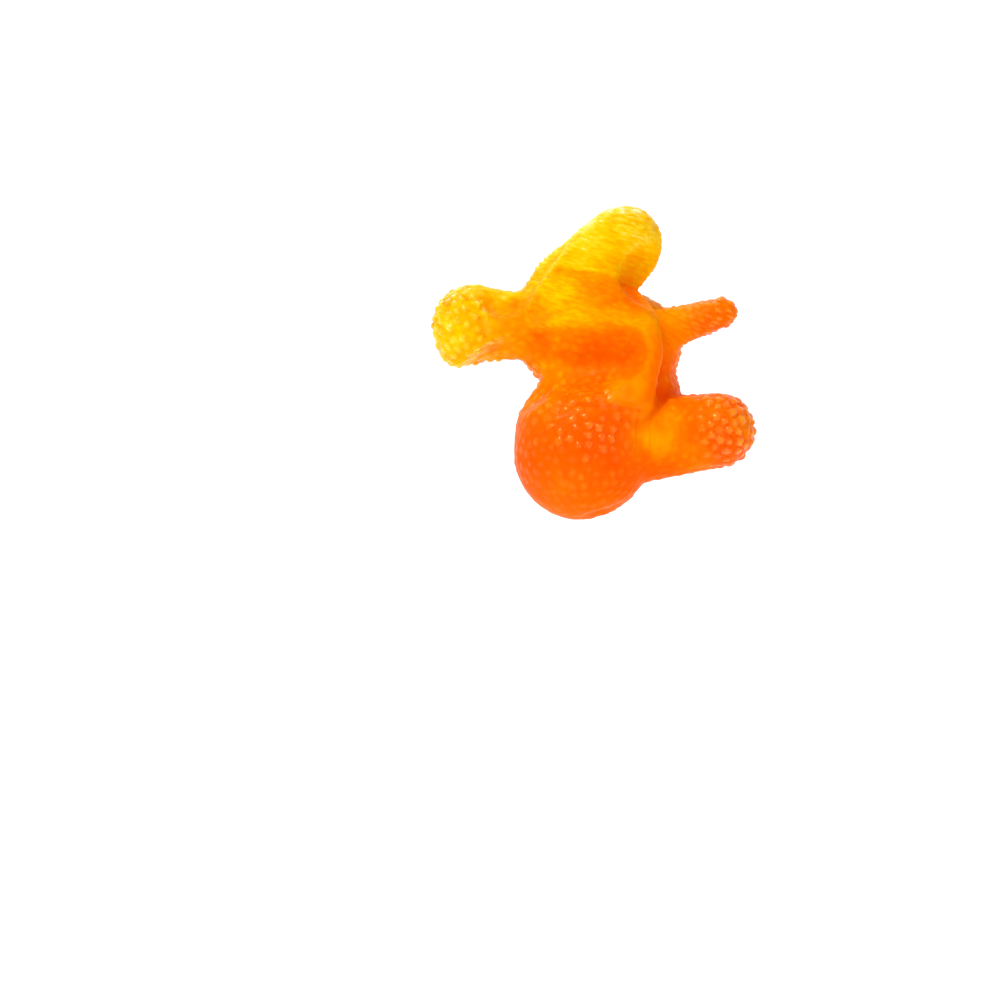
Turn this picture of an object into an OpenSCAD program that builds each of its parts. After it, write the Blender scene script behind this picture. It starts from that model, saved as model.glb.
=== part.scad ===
// A gel-filled hand exercise ball, held squeezed so that it bulges out between four
// fingers and a thumb. Millimetres, +Z up. The origin is where the palm presses on
// the back of the ball. The fingers reach round the front, which faces -Y.

/* [Skin] */
// Thickness of the moulded elastomer skin
skin_wall = 2.0; // [1.5:0.1:3]
// Gap kept between the gel and the half skin that moves
gel_gap = 0.3; // [0.2:0.1:0.6]

/* [Seam] */
// Height of the bonded strip that joins the two half skins at the waist
band_height = 7; // [5:0.5:9]
// Height of the middle of that strip
band_z = -4; // [-5:0.5:-3]

/* [Bulges] */
// Radius of the large bulge between the thumb and the little finger
belly_r = 22; // [20:0.5:24]
// Radius of the round end of the bulge between the ring and little fingers
side_r = 11.4; // [10:0.2:12.4]
// Radius of the round end of the bulge between the index and middle fingers
crown_r = 12.3; // [11:0.2:13.4]
// Radius of the bulge outside the index finger
cheek_r = 12.5; // [11:0.1:12.6]
// Radius of the middle mass that lies in the palm
core_r = 18.5; // [17:0.5:20]

/* [Fingers] */
// Radius of the groove that the tip of the thumb presses
thumb_r = 10; // [9.5:0.1:10.5]
// Radius of the groove that the index finger presses
index_r = 9; // [8:0.1:9.6]
// Radius of the groove that the middle finger presses
middle_r = 11; // [10:0.1:11.4]
// Radius of the groove that the ring finger presses
ring_r = 10.8; // [10:0.1:11.2]
// Radius of the groove that the little finger presses
little_r = 10.3; // [9.5:0.1:10.8]

/* [Fill plug] */
// How far the fill hole leans down from straight back, in degrees
hole_lean = 30; // [22:1:36]
// Radius of the hole that the gel is filled through
hole_r = 3.5; // [2.5:0.1:4]
// How much larger the plug's stem is than the hole, on the radius
plug_grip = 0.1; // [0.05:0.05:0.2]
// Radius of the plug's cap, outside the skin
cap_r = 5.5; // [5:0.1:6.5]
// How far the cap stands out of the skin
cap_proud = 0.9; // [0.6:0.1:1.2]
// Radius of the plug's flange, inside the skin
flange_r = 6; // [5:0.1:7]
// Thickness of that flange
flange_thick = 1.5; // [1:0.1:2]
// Radius of the bead of adhesive round the cap
bead_r = 0.7; // [0.5:0.1:0.9]

/* [Hidden] */
$fn = 64;
limb_facets = 22;
reach = 200;
band_top = band_z + band_height / 2;
band_low = band_z - band_height / 2;

// Each limb is [start, radius there, end, radius there]: a round-ended tapered bar.
belly_at = [-2.5, -25, -22.5];
belly = [belly_at, belly_r, [-4, -27.5, -27.5], belly_r - 1.1];
side = [[12, -25, -23.5], side_r + 2.1, [38, -30, -20.6], side_r];
crown = [[-7, -24, 22], crown_r + 2, [9, -28, 36.4], crown_r];
cheek = [[-14, -20, 12], cheek_r - 3.6, [-37.4, -24, 12.1], cheek_r];
core_upper = [[-6, -17, 11], core_r, [12, -17, 6], core_r - 3];
core_lower = [[0, -17, -11], core_r - 1, [12, -17, -11], core_r - 3];
waist = [[2, -17, 8], core_r, [3, -17, -15], core_r - 0.5];
shoulder = [[-8, -29, 24], 11, [3, -34, 20], 9.5];
fold = [[-12, -33, 18.5], 9.5, [10.5, -37, 16.5], 8];
lip_upper = [[10.5, -36, 16.5], 8, [16, -37, 4], 5.4];
lip_lower = [[16, -37, 4], 5.4, [9.5, -35.5, -10.5], 8.6];
web = [[16, -21, 9], 7, [40, -26, 16], 4.6];
BULGES = [belly, side, crown, cheek, core_upper, core_lower, waist,
    shoulder, fold, lip_upper, lip_lower, web];

thumb_root = [[-54, -16, -20], thumb_r + 3.5, [-18, -37.5, 0.5], thumb_r + 2.2];
thumb = [[-18, -38.5, 0.5], thumb_r + 2.2, [8, -44, 2.5], thumb_r];
index = [[-9, -28, 51], index_r, [-28, -34, 22], index_r];
middle = [[50, -31, 31], middle_r + 0.5, [17, -41, 27], middle_r];
ring = [[62, -31, 4], ring_r + 0.5, [32, -40, 0], ring_r];
little = [[52, -30, -40], little_r, [2, -33, -55], little_r];
DIGITS = [thumb_root, thumb, index, middle, ring, little];

// A round-ended bar from one point to another, whose radius tapers evenly.
// Grow adds to both radii, so the same bar can be drawn thinner or thicker.
module limb(shape, grow) {
    hull() {
        translate(shape[0]) sphere(r = shape[1] + grow, $fn = limb_facets);
        translate(shape[2]) sphere(r = shape[3] + grow, $fn = limb_facets);
    }
}

// The whole squeezed ball, drawn a given depth below its outer surface. The palm
// presses its back flat.
module squeezed(depth) {
    difference() {
        union() {
            for (bulge = BULGES) limb(bulge, -depth);
        }
        for (digit = DIGITS) limb(digit, depth);
        translate([-reach / 2, -depth, -reach / 2]) cube(reach);
    }
}

// Everything between two heights.
module layer(low, high) {
    translate([-reach / 2, -reach / 2, low]) cube([reach, reach, high - low]);
}

// The part of the skin between two heights.
module skin(low, high) {
    intersection() {
        difference() {
            squeezed(0);
            squeezed(skin_wall);
        }
        layer(low, high);
    }
}

// Draws its children along the fill hole's axis, which leaves the belly's back downwards.
module along_hole() {
    translate(belly_at) rotate([-90 - hole_lean, 0, 0]) children();
}

// A shell round the belly's centre between two radii, cut to a round disc.
module curved_disc(inner, outer, disc_r) {
    intersection() {
        cylinder(h = reach, r = disc_r);
        difference() {
            sphere(r = outer);
            sphere(r = inner);
        }
    }
}

module upper_skin() {
    color("gold") skin(band_top, reach / 2);
}

module lower_skin() {
    color("darkorange") difference() {
        skin(-reach / 2, band_low);
        along_hole() cylinder(h = reach / 2, r = hole_r);
    }
}

module seam_band() {
    color("orangered") skin(band_low, band_top);
}

module gel_fill() {
    color("orange") difference() {
        union() {
            intersection() {
                squeezed(skin_wall);
                layer(-reach / 2, band_top);
            }
            intersection() {
                squeezed(skin_wall + gel_gap);
                layer(band_top, reach / 2);
            }
        }
        along_hole() curved_disc(belly_r - skin_wall - flange_thick, belly_r, flange_r);
    }
}

module fill_plug() {
    color("tomato") along_hole() {
        curved_disc(belly_r - skin_wall - flange_thick, belly_r - skin_wall, flange_r);
        curved_disc(belly_r - skin_wall - flange_thick, belly_r + cap_proud, hole_r + plug_grip);
        curved_disc(belly_r, belly_r + cap_proud, cap_r);
    }
}

module seal_bead() {
    bead_at = cap_r + bead_r;
    color("wheat") along_hole() rotate_extrude()
        translate([bead_at, sqrt(pow(belly_r + bead_r, 2) - pow(bead_at, 2))]) circle(r = bead_r);
}

upper_skin();
lower_skin();
seam_band();
gel_fill();
fill_plug();
seal_bead();
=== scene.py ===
"""Looks of a gel-filled hand exercise ball, squeezed so that it bulges out between the fingers."""

import math
import random

import bmesh
import bpy
import numpy as np
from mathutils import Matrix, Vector, bvhtree, kdtree


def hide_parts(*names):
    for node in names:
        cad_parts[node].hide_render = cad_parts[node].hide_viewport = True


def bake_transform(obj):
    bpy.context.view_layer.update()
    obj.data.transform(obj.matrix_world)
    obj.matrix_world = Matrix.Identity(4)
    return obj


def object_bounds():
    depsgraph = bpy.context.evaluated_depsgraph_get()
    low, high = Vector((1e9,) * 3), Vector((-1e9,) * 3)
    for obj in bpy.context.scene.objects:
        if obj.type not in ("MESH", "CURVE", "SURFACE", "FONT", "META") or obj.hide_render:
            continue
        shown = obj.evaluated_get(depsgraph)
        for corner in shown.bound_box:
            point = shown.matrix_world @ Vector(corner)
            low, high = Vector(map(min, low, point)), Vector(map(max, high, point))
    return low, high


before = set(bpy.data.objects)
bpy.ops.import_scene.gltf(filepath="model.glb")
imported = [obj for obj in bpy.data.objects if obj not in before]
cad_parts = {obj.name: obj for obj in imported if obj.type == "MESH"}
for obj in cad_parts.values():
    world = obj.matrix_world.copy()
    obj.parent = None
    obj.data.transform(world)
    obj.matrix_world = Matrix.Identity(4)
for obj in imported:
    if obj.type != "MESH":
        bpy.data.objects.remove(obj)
cad_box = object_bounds()

MM = 0.001

# ---------------------------------------------------------------- camera

VIEW_WIDTH = 310 * MM          # width of the picture at the ball
VIEW_DISTANCE = 0.95
SENSOR = 36.0
AIM_SHIFT = Vector((-0.093, 0, -0.1365))    # of the view's width, away from the ball's middle


def middle_of(box):
    low, high = box
    return (Vector(low) + Vector(high)) / 2


def make_camera():
    """A long lens that looks level at the front, with the ball up and to the right in the frame."""
    data = bpy.data.cameras.new("camera")
    data.sensor_width = SENSOR
    data.lens = SENSOR * VIEW_DISTANCE / VIEW_WIDTH
    camera = bpy.data.objects.new("camera", data)
    bpy.context.scene.collection.objects.link(camera)
    middle = middle_of(cad_box)
    aim = middle + AIM_SHIFT * VIEW_WIDTH
    camera.location = (aim.x, middle.y - VIEW_DISTANCE, aim.z)
    camera.rotation_euler = (math.pi / 2, 0, 0)
    bpy.context.scene.camera = camera


make_camera()


# ---------------------------------------------------------------- small tools

def linear(code):
    """An sRGB hex colour as linear red, green, blue, alpha."""
    parts = [int(code[i:i + 2], 16) / 255 for i in (0, 2, 4)]
    return [p / 12.92 if p <= 0.04045 else ((p + 0.055) / 1.055) ** 2.4 for p in parts] + [1.0]


def add(tree, kind, inputs=None, **settings):
    """Adds a node with its settings, and sets or links its inputs."""
    node = tree.nodes.new(kind)
    for name, value in settings.items():
        setattr(node, name, value)
    for socket, value in (inputs or {}).items():
        if isinstance(value, bpy.types.NodeSocket):
            tree.links.new(value, node.inputs[socket])
        else:
            node.inputs[socket].default_value = value
    return node


def new_material(name):
    """An empty node material, with its tree and its output node."""
    material = bpy.data.materials.new(name)
    material.use_nodes = True
    tree = material.node_tree
    tree.nodes.clear()
    return material, tree, add(tree, "ShaderNodeOutputMaterial")


def ramp(tree, fac, stops):
    """A colour ramp from a factor through (place, hex colour) stops."""
    node = add(tree, "ShaderNodeValToRGB", {"Fac": fac})
    elements = node.color_ramp.elements
    while len(elements) < len(stops):
        elements.new(0.5)
    for element, (place, code) in zip(elements, stops):
        element.position = place
        element.color = linear(code)
    return node.outputs["Color"]


def smoothstep(x, low, high):
    """Goes from 0 at low to 1 at high, with soft ends."""
    t = np.clip((x - low) / (high - low), 0, 1)
    return t * t * (3 - 2 * t)


def in_front(co, start, full):
    """Goes from 0 to 1 as a point comes forward between two distances from the back, in millimetres."""
    return smoothstep(-co[:, 1] / MM, start, full)


def points_of(mesh):
    """The mesh's points as an array, in metres."""
    co = np.empty(len(mesh.vertices) * 3, np.float32)
    mesh.vertices.foreach_get("co", co)
    return co.reshape(-1, 3).astype(float)


def normals_of(mesh):
    no = np.empty(len(mesh.vertices) * 3, np.float32)
    mesh.vertex_normals.foreach_get("vector", no)
    return no.reshape(-1, 3).astype(float)


def set_points(mesh, co):
    mesh.vertices.foreach_set("co", co.astype(np.float32).ravel())
    mesh.update()


def edges_of(mesh):
    ends = np.empty(len(mesh.edges) * 2, np.int32)
    mesh.edges.foreach_get("vertices", ends)
    return ends.reshape(-1, 2)


def spread(values, edges, rounds):
    """Averages a value over each point's neighbours, again and again."""
    values = np.array(values, float)
    flat = values.reshape(len(values), -1)
    a, b = edges.T
    count = np.bincount(a, minlength=len(flat)) + np.bincount(b, minlength=len(flat)) + 1.0
    for _ in range(rounds):
        for k in range(flat.shape[1]):
            column = flat[:, k]
            total = column + np.bincount(a, column[b], len(flat)) + np.bincount(b, column[a], len(flat))
            flat[:, k] = total / count
    return flat.reshape(values.shape)


def store(mesh, name, values):
    """Keeps a number for each point in an attribute of the mesh."""
    attribute = mesh.attributes.get(name) or mesh.attributes.new(name, "FLOAT", "POINT")
    attribute.data.foreach_set("value", np.asarray(values, np.float32))


def read(mesh, name):
    values = np.empty(len(mesh.vertices), np.float32)
    mesh.attributes[name].data.foreach_get("value", values)
    return values.astype(float)


def applied(obj):
    """Replaces an object's mesh with what its modifiers make of it."""
    bpy.context.view_layer.update()
    graph = bpy.context.evaluated_depsgraph_get()
    mesh = bpy.data.meshes.new_from_object(obj.evaluated_get(graph))
    obj.modifiers.clear()
    obj.data = mesh
    return mesh


def copy_of_nodes(name, nodes):
    """One new object whose mesh holds copies of several CAD nodes."""
    mesh = bpy.data.meshes.new(name)
    points, faces = [], []
    for node in nodes:
        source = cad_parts[node].data
        offset = len(points)
        points += [v.co[:] for v in source.vertices]
        faces += [[offset + i for i in f.vertices] for f in source.polygons]
    mesh.from_pydata(points, [], faces)
    obj = bpy.data.objects.new(name, mesh)
    bpy.context.scene.collection.objects.link(obj)
    return obj


def remeshed(obj, voxel):
    """Makes one closed, even mesh of everything in the object."""
    modifier = obj.modifiers.new("even_out", "REMESH")
    modifier.mode = "VOXEL"
    modifier.voxel_size = voxel
    return applied(obj)


def smooth_shaded(mesh):
    mesh.polygons.foreach_set("use_smooth", [True] * len(mesh.polygons))
    mesh.update()


# ---------------------------------------------------------------- skin: shape

BODY_VOXEL = 0.9 * MM
MELT_ROUNDS = 8            # rounds of averaging that melt the facets
RIDGE_ROUNDS = 40          # the same, for the softer shape that sharp ridges go to
BLEND_ROUNDS = 6           # rounds that soften the border of what is rounded, and of the surface there
FINISH_ROUNDS = 3
LET_OUT = 0.2 * MM         # melting draws the bulges in a little, so the surface is let out again

# A ridge is rounded from the first height past the softer shape on, and fully at the second.
RIDGE_HEIGHTS = (0.7, 1.15)
RIDGE_SHARE = 0.9          # the share of the way to the softer shape that a ridge goes
# The thin web between two fingers keeps its thickness: it lies past these places in x and in z.
WEB_X = (24, 28)
WEB_Z = (2, 6)

# Where the gel sags or swells past the plain bars of the CAD shape: a point, a radius and a push.
PUSHES = (((-42, -26, 2), 12, (-0.4, -0.5, -2.6)), ((-40, -24, 16), 9, (0.2, 0, -0.6)),
          ((20, -24, -12), 9, (-0.4, -0.8, -0.6)), ((14, -36, -15), 8, (0, -0.6, -0.4)),
          ((30, -32, -12), 8, (0, 0, -0.8)), ((4, -40, 17), 12, (0, -1.8, 0.5)))
# Edges between a bulge and a groove that are rounded off more: (x, z, radius, amount).
ROUNDED_SPOTS = ((-24, 24, 8, 0.8), (-18, 32, 7, 0.8), (-12, 40, 7, 0.7),
                 (21, 6, 6, 0.6), (19, -4, 6, 0.6))
# Creases and wrinkles on the front: two ends (x, z), half their width and how deep they go.
CREASES = (((-11, 27.8), (8, 24.3), 2.2, 1.9), ((-6, -13.5), (15, -14.5), 1.8, 0.9),
           ((13, -14), (12, -27), 0.9, 0.3), ((17, -15), (16.5, -29), 0.9, 0.35),
           ((21, -16), (21, -28), 0.9, 0.3), ((11, -4), (13, -11), 0.8, 0.3),
           ((16, 8), (17.5, -3), 0.8, 0.25))


def from_segment(points, a, b):
    """The distance from each point to the line between two points."""
    a, b = np.array(a, float), np.array(b, float)
    t = np.clip((points - a) @ (b - a) / ((b - a) @ (b - a)), 0, 1)
    return np.linalg.norm(points - a - t[:, None] * (b - a), axis=1)


def sculpt(mesh):
    """Swells the gel and presses the creases in."""
    co = points_of(mesh)
    for point, radius, push in PUSHES:
        distance = np.linalg.norm(co / MM - point, axis=1)
        co += (smoothstep(-distance, -radius, 0.0)[:, None] * push) * MM
    front = in_front(co, 26, 32)
    for start, end, half, depth in CREASES:
        near = smoothstep(-from_segment(co[:, [0, 2]] / MM, start, end), -half, 0.0)
        co[:, 1] += near * front * depth * MM
    set_points(mesh, co)


def rounded_ridges(co, mesh, edges):
    """Rounds off ridges that are sharper than soft gel would hold."""
    softer = spread(co, edges, RIDGE_ROUNDS)
    ridge = smoothstep(((co - softer) * normals_of(mesh)).sum(1) / MM, *RIDGE_HEIGHTS)
    edge = soft_spots(co, ROUNDED_SPOTS) * in_front(co, 16, 22)
    ridge = np.maximum(ridge, np.clip(edge, 0, 1))
    ridge *= 1 - smoothstep(co[:, 0] / MM, *WEB_X) * smoothstep(co[:, 2] / MM, *WEB_Z)
    ridge = spread(ridge, edges, BLEND_ROUNDS)[:, None]
    return spread(co + (softer - co) * ridge * RIDGE_SHARE, edges, FINISH_ROUNDS)


def body_shape():
    """The outer surface of skin and gel together, its facets and creases melted into gel-like curves."""
    skin = copy_of_nodes("nubbed_skin", ["upper_skin", "lower_skin", "seam_band", "gel_fill", "fill_plug"])
    mesh = remeshed(skin, BODY_VOXEL)
    edges = edges_of(mesh)
    set_points(mesh, spread(points_of(mesh), edges, MELT_ROUNDS))
    co = rounded_ridges(points_of(mesh), mesh, edges)
    set_points(mesh, co)
    set_points(mesh, co + normals_of(mesh) * LET_OUT)
    sculpt(mesh)
    return skin, edges


HOLLOW_ROUNDS = 30         # rounds that draw a surface out of its hollows
THICK_ROUNDS = 25          # rounds that even out the thickness
RAY_START = 0.3 * MM       # a ray starts this far under the surface, clear of the face it left


def surface_facts(mesh, edges):
    """For each point: how hollow the surface is and how thick the gel is behind it, in millimetres."""
    co, no = points_of(mesh), normals_of(mesh)
    pulled = spread(co, edges, HOLLOW_ROUNDS)
    hollow = ((pulled - co) * no).sum(1) / MM
    tree = bvhtree.BVHTree.FromPolygons(co.tolist(), [tuple(f.vertices) for f in mesh.polygons])
    thick = np.zeros(len(co))
    for i in range(len(co)):
        n = Vector(no[i])
        hit = tree.ray_cast(Vector(co[i]) - n * RAY_START, -n)
        thick[i] = hit[3] if hit[0] else 0
    return hollow, spread(thick, edges, THICK_ROUNDS) / MM


# Soft spots where the squeeze changes the skin: (x, z, radius, amount), in millimetres.
# Painted light and shade: the light coming through is painted brighter or dimmer.
GLOW_SPOTS = (
    (-44, 3, 13, 0.2), (-20, 13, 11, -0.14), (38, 15, 15, -0.18), (50, -20, 11, 0.3),
    (19, -20, 11, 0.22), (15, -26, 12, 0.22), (21, -27, 10, 0.12), (19, 2, 7, -0.07),
    (8, 19, 12, -0.06), (-9, 17, 9, 0.1), (10, 30, 8, 0.04), (-16, 10, 12, -0.05),
    (4, 36, 12, -0.06), (36, -22, 22, 0.16), (10, -9, 10, 0.2), (-6, -44, 19, 0.26),
    (-26, -24, 14, -0.14), (8, -38, 12, 0.1), (30, -31, 10, 0.18), (46, -31, 8, 0.14),
    (0, 8, 14, -0.06))
# The skin is drawn tight, and its nubs are pulled flat.
TIGHT_SPOTS = ((17, -23, 12, 1.0), (12, -10, 11, 1.0), (20, 5, 12, 0.9), (-14, -42, 17, 0.8),
               (-26, -24, 9, 0.7))
# The nubs stand up and catch the light.
PROUD_SPOTS = ((44, -20, 18, 1.0), (-44, 12, 20, 0.8), (0, -17, 17, 0.75), (-8, -26, 22, 0.3),
               (38, 16, 14, 0.7), (12, 46, 12, 0.4))

BACK_PROUD = 0.7           # how proud the nubs stand on the sides and the back

# The fold's crease runs down to the right from this point, and the thumb's line along its groove.
FOLD_CREASE_X, FOLD_CREASE_Z, FOLD_SLOPE = -10, 27.5, 0.18
THUMB_LINE = (-18, -38.5, 0.5), (8, -44, 2.5)

# Painted light: light from above and behind, fading on its way down through the gel, is painted into
# the colour as a glow. It grows with height by so much a millimetre, from its least value at the depth
# given, and leans to the left.
GLOW_LEAST = 0.1
GLOW_PER_MM = 0.0118
GLOW_DEPTH = 23
GLOW_LEAN = 0.3
THIN_GLOW = 0.06           # the painted light that thin gel adds
RIM_GLOW = 0.12            # the painted light that the rolled rim over the thumb adds
FOLD_SHADE = 0.22          # what the painted shade under the fold's crease takes away
PRESSED_SHADE = 0.12       # what the painted shade in a pressed hollow takes away


def soft_spots(co, spots):
    """The sum of soft round spots, seen from the front."""
    total = np.zeros(len(co))
    for x, z, radius, amount in spots:
        distance = np.hypot(co[:, 0] / MM - x, co[:, 2] / MM - z)
        total += amount * smoothstep(-distance, -radius, -0.25 * radius)
    return total


def paint_facts(mesh, hollow, thick):
    """Stores the values that the nubs and the skin's colour are made from; the colour's glow is painted
    light and shade.

    The two numbers that end a smoothstep or in_front are where its effect starts and where it is
    full, in millimetres.
    """
    co = points_of(mesh)
    x, y, z = co.T / MM
    front = in_front(co, 26, 34)
    # painted light and shade: how much light comes through each point, painted into the skin's colour
    height = z - GLOW_LEAN * x + GLOW_DEPTH
    painted_glow = GLOW_LEAST + GLOW_PER_MM * height + THIN_GLOW * smoothstep(-thick, -34, -16)
    # painted light along the rolled rim over the thumb
    from_thumb = from_segment(co / MM, *THUMB_LINE)
    rim = smoothstep(-from_thumb, -15.5, -12) * smoothstep(z, 8, 12) * front
    # painted shade: the fold rolls over the crown's foot, deep orange is painted just under its crease, and
    # yellow again lower left
    under = FOLD_CREASE_Z - FOLD_SLOPE * (x - FOLD_CREASE_X) - z
    shade = smoothstep(under, -0.8, 1.2) * smoothstep(-under, -13, -3) * smoothstep(x, -12, 0)
    shade *= smoothstep(-x, -20, -12) * front
    painted_glow += soft_spots(co, GLOW_SPOTS) + RIM_GLOW * rim - FOLD_SHADE * shade
    pressed = smoothstep(hollow, 0.08, 0.4)
    palm = smoothstep(y, -3, -0.6)
    # the pressed hollows take painted shade off the glow
    store(mesh, "painted_glow", np.clip(painted_glow - PRESSED_SHADE * pressed, 0, 1))
    store(mesh, "pressed", np.maximum(pressed, palm))
    store(mesh, "tight", np.clip(soft_spots(co, TIGHT_SPOTS) * in_front(co, 14, 26), 0, 1))
    behind = 1 - in_front(co, 18, 26)
    store(mesh, "proud", np.clip(BACK_PROUD * behind + soft_spots(co, PROUD_SPOTS), 0, 1))


def refine(obj):
    """Splits every face in four, so that the mesh can hold the nubs."""
    modifier = obj.modifiers.new("refine", "SUBSURF")
    modifier.levels = 1
    modifier.render_levels = 1
    return applied(obj)


skin, skin_edges = body_shape()
paint_facts(skin.data, *surface_facts(skin.data, skin_edges))
refine(skin)


# ---------------------------------------------------------------- skin: nubs

NUB_HEIGHT = 0.95 * MM
NUB_PITCH = 3.3 * MM
NUB_GAP = 0.86 * NUB_PITCH             # the least distance between two nubs' middles
NUB_SIZES = (0.36, 0.54)               # the least and the most half width, as shares of the pitch
NUB_HEIGHTS = (0.3, 1.15)              # the least and the most height, as shares of the full height
LOW_NUB = 0.32                         # the height that a nub keeps where it doesn't stand proud
PRESSED_LOSS, TIGHT_LOSS = 0.7, 0.92   # what pressing and stretching take off a nub's height
UNEVEN = 0.25                          # how far a nub's outline is from round
DOME, GLINT = 0.8, 1.4                 # how full a nub's dome is, and how its painted highlight gathers on top
STREAK_PULL = 0.75                     # how much a tight stretch lengthens the streaks
STREAK_MIDDLE = -12 * MM               # the height that the streaks are pulled away from

# The skin is crushed along this direction where it is squeezed out above the thumb, so its nubs
# crowd into rows across it, and the finer streaks even more.
CRUSH_WAY = np.array((0.33, 0.0, 0.944))
CRUSH_FROM = 9 * MM
CRUSH_BEND = 4 * MM        # the length over which the crushing sets in
NUB_CRUSH = 1.3
STREAK_CRUSH = 3.2


def crushed(co, amount):
    """The same points with the crushed stretch let out again, as the nubs were moulded."""
    along = co @ CRUSH_WAY - CRUSH_FROM
    extra = amount * CRUSH_BEND * np.logaddexp(0, along / CRUSH_BEND)
    return co + CRUSH_WAY * extra[:, None]


def tree_of(points):
    """A search tree over the points."""
    tree = kdtree.KDTree(len(points))
    for i, p in enumerate(points):
        tree.insert(p, i)
    tree.balance()
    return tree


def nub_centres(moulded, gap):
    """The numbers of points spread over the surface, each at least a gap from the next."""
    tree = tree_of(moulded)
    order = list(range(len(moulded)))
    random.Random(7).shuffle(order)
    free = np.ones(len(moulded), bool)
    chosen = []
    for i in order:
        if free[i]:
            chosen.append(i)
            for _, j, _ in tree.find_range(moulded[i], gap):
                free[j] = False
    return chosen


# The fill plug sits on the belly's back: the belly's middle and radius in millimetres, and the way
# the fill hole points.
BELLY_AT = np.array((-2.5, -25, -22.5))
BELLY_R = 22
HOLE_WAY = np.array((0, 0.866, -0.5))
SEAT_EDGE = (8.4, 7.1)     # the seat's edge, from its outside to where it is fully smooth
SEAT_DEPTH = 0.05          # the seat's depth below the belly's sphere


def plug_seat(co):
    """How far each point belongs to the smooth seat under the plug's cap and its bead."""
    from_belly = co / MM - BELLY_AT
    along = from_belly @ HOLE_WAY
    across = np.linalg.norm(from_belly - along[:, None] * HOLE_WAY, axis=1)
    outside, smooth = SEAT_EDGE
    return smoothstep(-across, -outside, -smooth) * (along > 0)


def seated(co):
    """The same points, with none standing up through the plug's cap."""
    from_belly = co / MM - BELLY_AT
    out = np.linalg.norm(from_belly, axis=1)
    shrink = 1 + plug_seat(co) * (np.minimum(out, BELLY_R - SEAT_DEPTH) / out - 1)
    return (BELLY_AT + from_belly * shrink[:, None]) * MM


def raise_nubs(obj):
    """Lifts a low nub at every centre, lower where the skin is pressed or drawn tight."""
    mesh = obj.data
    co, no = points_of(mesh), normals_of(mesh)
    moulded = crushed(co, NUB_CRUSH)
    centres = moulded[nub_centres(moulded, NUB_GAP)]
    chance = np.random.default_rng(5)
    stout = chance.uniform(*NUB_HEIGHTS, len(centres))
    wide = chance.uniform(*NUB_SIZES, len(centres)) * NUB_PITCH
    tree = tree_of(centres)
    found = [tree.find(p) for p in moulded]
    near = np.array([f[2] for f in found])
    which = np.array([f[1] for f in found])
    # waves of about 3 mm in the skin, bent by one another, leave no nub quite round
    u, v = co[:, 0] / MM, co[:, 2] / MM
    uneven = 1 + UNEVEN * np.sin(2.1 * u + 1.3 * np.sin(1.7 * v)) * np.cos(2.3 * v + np.sin(2.9 * u))
    inside = np.clip(1 - (near * uneven / wide[which]) ** 2, 0, 1)
    dome = inside ** DOME * stout[which]
    height = NUB_HEIGHT * (LOW_NUB + (1 - LOW_NUB) * read(mesh, "proud"))
    height *= (1 - PRESSED_LOSS * read(mesh, "pressed")) * (1 - TIGHT_LOSS * read(mesh, "tight"))
    height *= 1 - plug_seat(co)
    raised = seated(co + no * (dome * height)[:, None])
    # the palm keeps the back flat
    raised[:, 1] = np.minimum(raised[:, 1], 0)
    set_points(mesh, raised)
    # the nub's dome, for the painted highlight on its top and for its shine
    store(mesh, "nub", inside ** GLINT * stout[which])
    streak = crushed(co, STREAK_CRUSH)
    # where the skin is drawn tight, the streaks run along the pull
    streak[:, 2] -= STREAK_PULL * read(mesh, "tight") * (co[:, 2] - STREAK_MIDDLE)
    attribute = mesh.attributes.new("streak_place", "FLOAT_VECTOR", "POINT")
    attribute.data.foreach_set("vector", streak.astype(np.float32).ravel())
    smooth_shaded(mesh)


raise_nubs(skin)


# ---------------------------------------------------------------- gel

GEL_VOXEL = 1.4 * MM
GEL_MELT_ROUNDS = 14


def gel_shape():
    """The gel inside the skin, melted to the same soft curves."""
    gel = copy_of_nodes("gel_core", ["gel_fill"])
    mesh = remeshed(gel, GEL_VOXEL)
    set_points(mesh, spread(points_of(mesh), edges_of(mesh), GEL_MELT_ROUNDS))
    smooth_shaded(mesh)
    return gel


gel = gel_shape()


# ---------------------------------------------------------------- materials

def pattern(size):
    """The texture scale for a pattern of this size, in millimetres."""
    return 1 / (size * MM)


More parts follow.
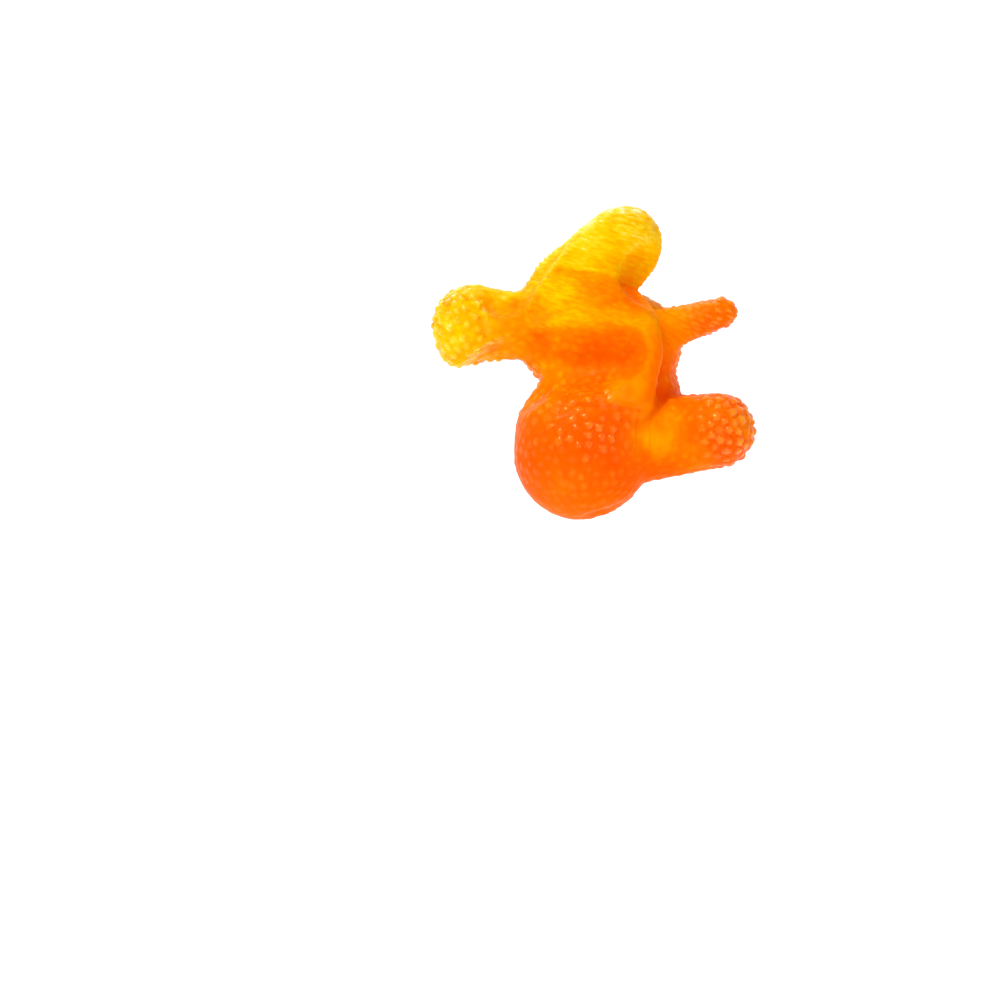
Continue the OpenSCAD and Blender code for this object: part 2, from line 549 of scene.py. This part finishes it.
def translucent_orange_tpe():
    """Moulded orange elastomer over gel, with the light through it painted into its colour: yellow where
    light comes through, red-orange where deep.
    """
    material, tree, output = new_material("translucent_orange_tpe")

    def fact(name, socket="Fac"):
        return add(tree, "ShaderNodeAttribute", attribute_name=name).outputs[socket]

    def between(value, low, high, bottom=0.0, top=1.0):
        return add(tree, "ShaderNodeMapRange", {
            "Value": value, "From Min": low, "From Max": high,
            "To Min": bottom, "To Max": top}).outputs["Result"]

    def math_of(operation, one, two):
        return add(tree, "ShaderNodeMath", {0: one, 1: two}, operation=operation).outputs[0]

    painted_glow, nub, proud = fact("painted_glow"), fact("nub"), fact("proud")

    # clouds of about 6 mm in the gel, and streaks of 4 mm with a ripple of 1.6 mm in the moulded skin
    place = add(tree, "ShaderNodeTexCoord").outputs["Object"]
    along = fact("streak_place", "Vector")
    cloud = add(tree, "ShaderNodeTexNoise", {
        "Vector": place, "Scale": pattern(5.88), "Detail": 3.0}).outputs["Fac"]
    streak = add(tree, "ShaderNodeTexNoise", {
        "Vector": along, "Scale": pattern(3.85), "Detail": 3.0, "Roughness": 0.6}).outputs["Fac"]
    fine = add(tree, "ShaderNodeTexNoise", {
        "Vector": along, "Scale": pattern(1.613), "Detail": 2.0}).outputs["Fac"]

    # painted highlight and shade: a nub's top is painted lighter and the valleys between nubs deeper, less
    # so where the painted glow is high or the skin is tight
    dim = between(painted_glow, 0.35, 0.7, 1.0, 0.35)
    dim = math_of("MULTIPLY", dim, between(fact("tight"), 0.0, 1.0, 1.0, 0.15))
    dim = math_of("MULTIPLY", dim, between(proud, 0.0, 0.8, 0.55, 1.0))
    painted_nub_shading = math_of("MULTIPLY", between(nub, 0.0, 1.0, -0.06, 0.2), dim)
    # clouds and streaks shift the colour, the more where the painted glow is high: partly the gel's own
    # uneven tone, partly painted light in pale backlit patches and sheen along the streaks
    lively = between(painted_glow, 0.1, 0.7, 0.3, 1.0)
    tone_and_painted_light = math_of("ADD", between(cloud, 0.3, 0.7, -0.08, 0.1), between(streak, 0.3, 0.7, -0.1, 0.1))
    total = math_of("ADD", math_of("ADD", painted_glow, painted_nub_shading), math_of("MULTIPLY", tone_and_painted_light, lively))
    # the ramp turns the painted light into colour: red-orange where little comes through, yellow to cream
    # where much does
    colour = ramp(tree, total, [
        (0.0, "FF5800"), (0.14, "FF6200"), (0.32, "FF7900"), (0.5, "FF9200"),
        (0.66, "FFAA00"), (0.8, "FFC200"), (0.9, "FFD028"), (1.0, "FFECAC")])
    rough = between(proud, 0.0, 1.0, 0.34, 0.18)
    shine = between(math_of("MULTIPLY", proud, between(nub, 0.0, 0.4, 0.05, 1.0)), 0.0, 1.0, 0.01, 0.75)
    height = math_of("ADD", math_of("MULTIPLY", fine, 0.5), streak)
    bump = add(tree, "ShaderNodeBump", {"Height": height, "Strength": 0.6, "Distance": 0.6 * MM})
    shader = add(tree, "ShaderNodeBsdfPrincipled", {
        "Base Color": colour, "Roughness": rough, "Normal": bump.outputs["Normal"],
        "Specular IOR Level": shine, "Specular Tint": linear("FFE4A0"), "IOR": 1.45,
        "Subsurface Weight": 0.6, "Subsurface Radius": (1.0, 0.4, 0.05), "Subsurface Scale": 2 * MM})
    tree.links.new(shader.outputs[0], output.inputs["Surface"])
    return material


def clear_orange_gel():
    """Soft oil gel, clear orange, with a wet gloss."""
    material, tree, output = new_material("clear_orange_gel")
    place = add(tree, "ShaderNodeTexCoord").outputs["Object"]
    cloud = add(tree, "ShaderNodeTexNoise", {"Vector": place, "Scale": pattern(16.7), "Detail": 2.0})
    colour = ramp(tree, cloud.outputs["Fac"], [(0.3, "FF7A08"), (0.7, "FFA21C")])
    shader = add(tree, "ShaderNodeBsdfPrincipled", {
        "Base Color": colour, "Roughness": 0.12, "IOR": 1.42, "Subsurface Weight": 1.0,
        "Subsurface Radius": (1.0, 0.45, 0.08), "Subsurface Scale": 10 * MM})
    tree.links.new(shader.outputs[0], output.inputs["Surface"])
    return material


def moulded_plug_tpe():
    """Solid orange elastomer of the plug: deeper and less clear than the skin, with a fine mould grain."""
    material, tree, output = new_material("moulded_plug_tpe")
    place = add(tree, "ShaderNodeTexCoord").outputs["Object"]
    cloud = add(tree, "ShaderNodeTexNoise", {"Vector": place, "Scale": pattern(4.17), "Detail": 3.0})
    colour = ramp(tree, cloud.outputs["Fac"], [(0.35, "F25C04"), (0.65, "FF7410")])
    # a mould's grain is about a tenth of a millimetre, and is drawn coarser so that it shows
    grain = add(tree, "ShaderNodeTexNoise", {"Vector": place, "Scale": pattern(0.667), "Detail": 2.0})
    bump = add(tree, "ShaderNodeBump", {
        "Height": grain.outputs["Fac"], "Strength": 0.2, "Distance": 0.2 * MM})
    shader = add(tree, "ShaderNodeBsdfPrincipled", {
        "Base Color": colour, "Roughness": 0.42, "IOR": 1.48, "Normal": bump.outputs["Normal"],
        "Subsurface Weight": 0.4, "Subsurface Radius": (1.0, 0.35, 0.05), "Subsurface Scale": 2 * MM})
    tree.links.new(shader.outputs[0], output.inputs["Surface"])
    return material


def set_adhesive():
    """Clear adhesive, set hard: amber in the bead, glossy, with a few soft ripples."""
    material, tree, output = new_material("set_adhesive")
    place = add(tree, "ShaderNodeTexCoord").outputs["Object"]
    ripple = add(tree, "ShaderNodeTexNoise", {"Vector": place, "Scale": pattern(2.38), "Detail": 1.0})
    colour = ramp(tree, ripple.outputs["Fac"], [(0.3, "F08A20"), (0.7, "FFA838")])
    bump = add(tree, "ShaderNodeBump", {
        "Height": ripple.outputs["Fac"], "Strength": 0.4, "Distance": 0.4 * MM})
    shader = add(tree, "ShaderNodeBsdfPrincipled", {
        "Base Color": colour, "Roughness": 0.12, "IOR": 1.49, "Normal": bump.outputs["Normal"],
        "Subsurface Weight": 0.5, "Subsurface Radius": (1.0, 0.6, 0.2), "Subsurface Scale": 1 * MM})
    tree.links.new(shader.outputs[0], output.inputs["Surface"])
    return material


def dress(obj, material):
    """Gives the object this material alone."""
    obj.data.materials.clear()
    obj.data.materials.append(material)


dress(skin, translucent_orange_tpe())
dress(gel, clear_orange_gel())
for node, material in (("fill_plug", moulded_plug_tpe()), ("seal_bead", set_adhesive())):
    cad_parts[node].material_slots[0].material = material


# ---------------------------------------------------------------- skin and gel in place of their CAD parts

for piece, nodes in ((skin, ("upper_skin", "lower_skin", "seam_band")), (gel, ("gel_fill",))):
    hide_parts(*nodes)
    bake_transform(piece)


# ---------------------------------------------------------------- studio

# The backdrop, in metres.
FLOOR_DROP = 0.16          # the floor's depth below the ball
FLOOR_SIDE = 4
FLOOR_FRONT = 2.5
FLOOR_BEND = 0.5
BACK_SPACE = 1.6
WALL_HEIGHT = 4


def make_floor():
    """A pale floor that curves up into a backdrop behind the ball."""
    bm = bmesh.new()
    low, high = cad_box
    level, bend, back = low[2] - FLOOR_DROP, FLOOR_BEND, high[1] + BACK_SPACE
    row = [bm.verts.new((-FLOOR_SIDE, -FLOOR_FRONT, level)), bm.verts.new((-FLOOR_SIDE, back - bend, level))]
    bmesh.ops.spin(bm, geom=row[1:], cent=(0, back - bend, level + bend), axis=(1, 0, 0),
                   angle=math.pi / 2, steps=16)
    bm.verts.ensure_lookup_table()
    bm.edges.new(row)
    top = max(bm.verts, key=lambda v: v.co.z)
    bm.edges.new((top, bm.verts.new((-FLOOR_SIDE, back, level + WALL_HEIGHT))))
    made = bmesh.ops.extrude_edge_only(bm, edges=bm.edges[:])
    far_side = [v for v in made["geom"] if isinstance(v, bmesh.types.BMVert)]
    bmesh.ops.translate(bm, vec=(2 * FLOOR_SIDE, 0, 0), verts=far_side)
    mesh = bpy.data.meshes.new("backdrop")
    bm.to_mesh(mesh)
    bm.free()
    smooth_shaded(mesh)
    floor = bpy.data.objects.new("backdrop", mesh)
    bpy.context.scene.collection.objects.link(floor)
    material, tree, output = new_material("pale_paper")
    shader = add(tree, "ShaderNodeBsdfPrincipled", {
        "Base Color": linear("F7F7F7"), "Roughness": 0.9,
        "Emission Color": (1, 1, 1, 1), "Emission Strength": 0.32})
    tree.links.new(shader.outputs[0], output.inputs["Surface"])
    dress(floor, material)


def make_light(name, place, size, power):
    """A square soft box that faces the ball."""
    data = bpy.data.lights.new(name, "AREA")
    data.size = size
    data.energy = power
    lamp = bpy.data.objects.new(name, data)
    bpy.context.scene.collection.objects.link(lamp)
    lamp.location = middle_of(cad_box) + Vector(place)
    lamp.rotation_euler = Vector(place).to_track_quat("Z", "Y").to_euler()


def make_world():
    """Even white light from all round."""
    world = bpy.data.worlds.new("studio")
    world.use_nodes = True
    tree = world.node_tree
    background = tree.nodes["Background"]
    background.inputs["Color"].default_value = (1, 1, 1, 1)
    background.inputs["Strength"].default_value = 0.5
    bpy.context.scene.world = world


make_floor()
make_light("key", (-0.55, -0.7, 0.95), 0.2, 10)
make_light("fill", (0.9, -1.0, 0.2), 0.5, 1.5)
make_light("rim", (-0.4, 0.8, 0.9), 0.6, 5)
make_world()
bpy.context.scene.view_settings.view_transform = "Standard"
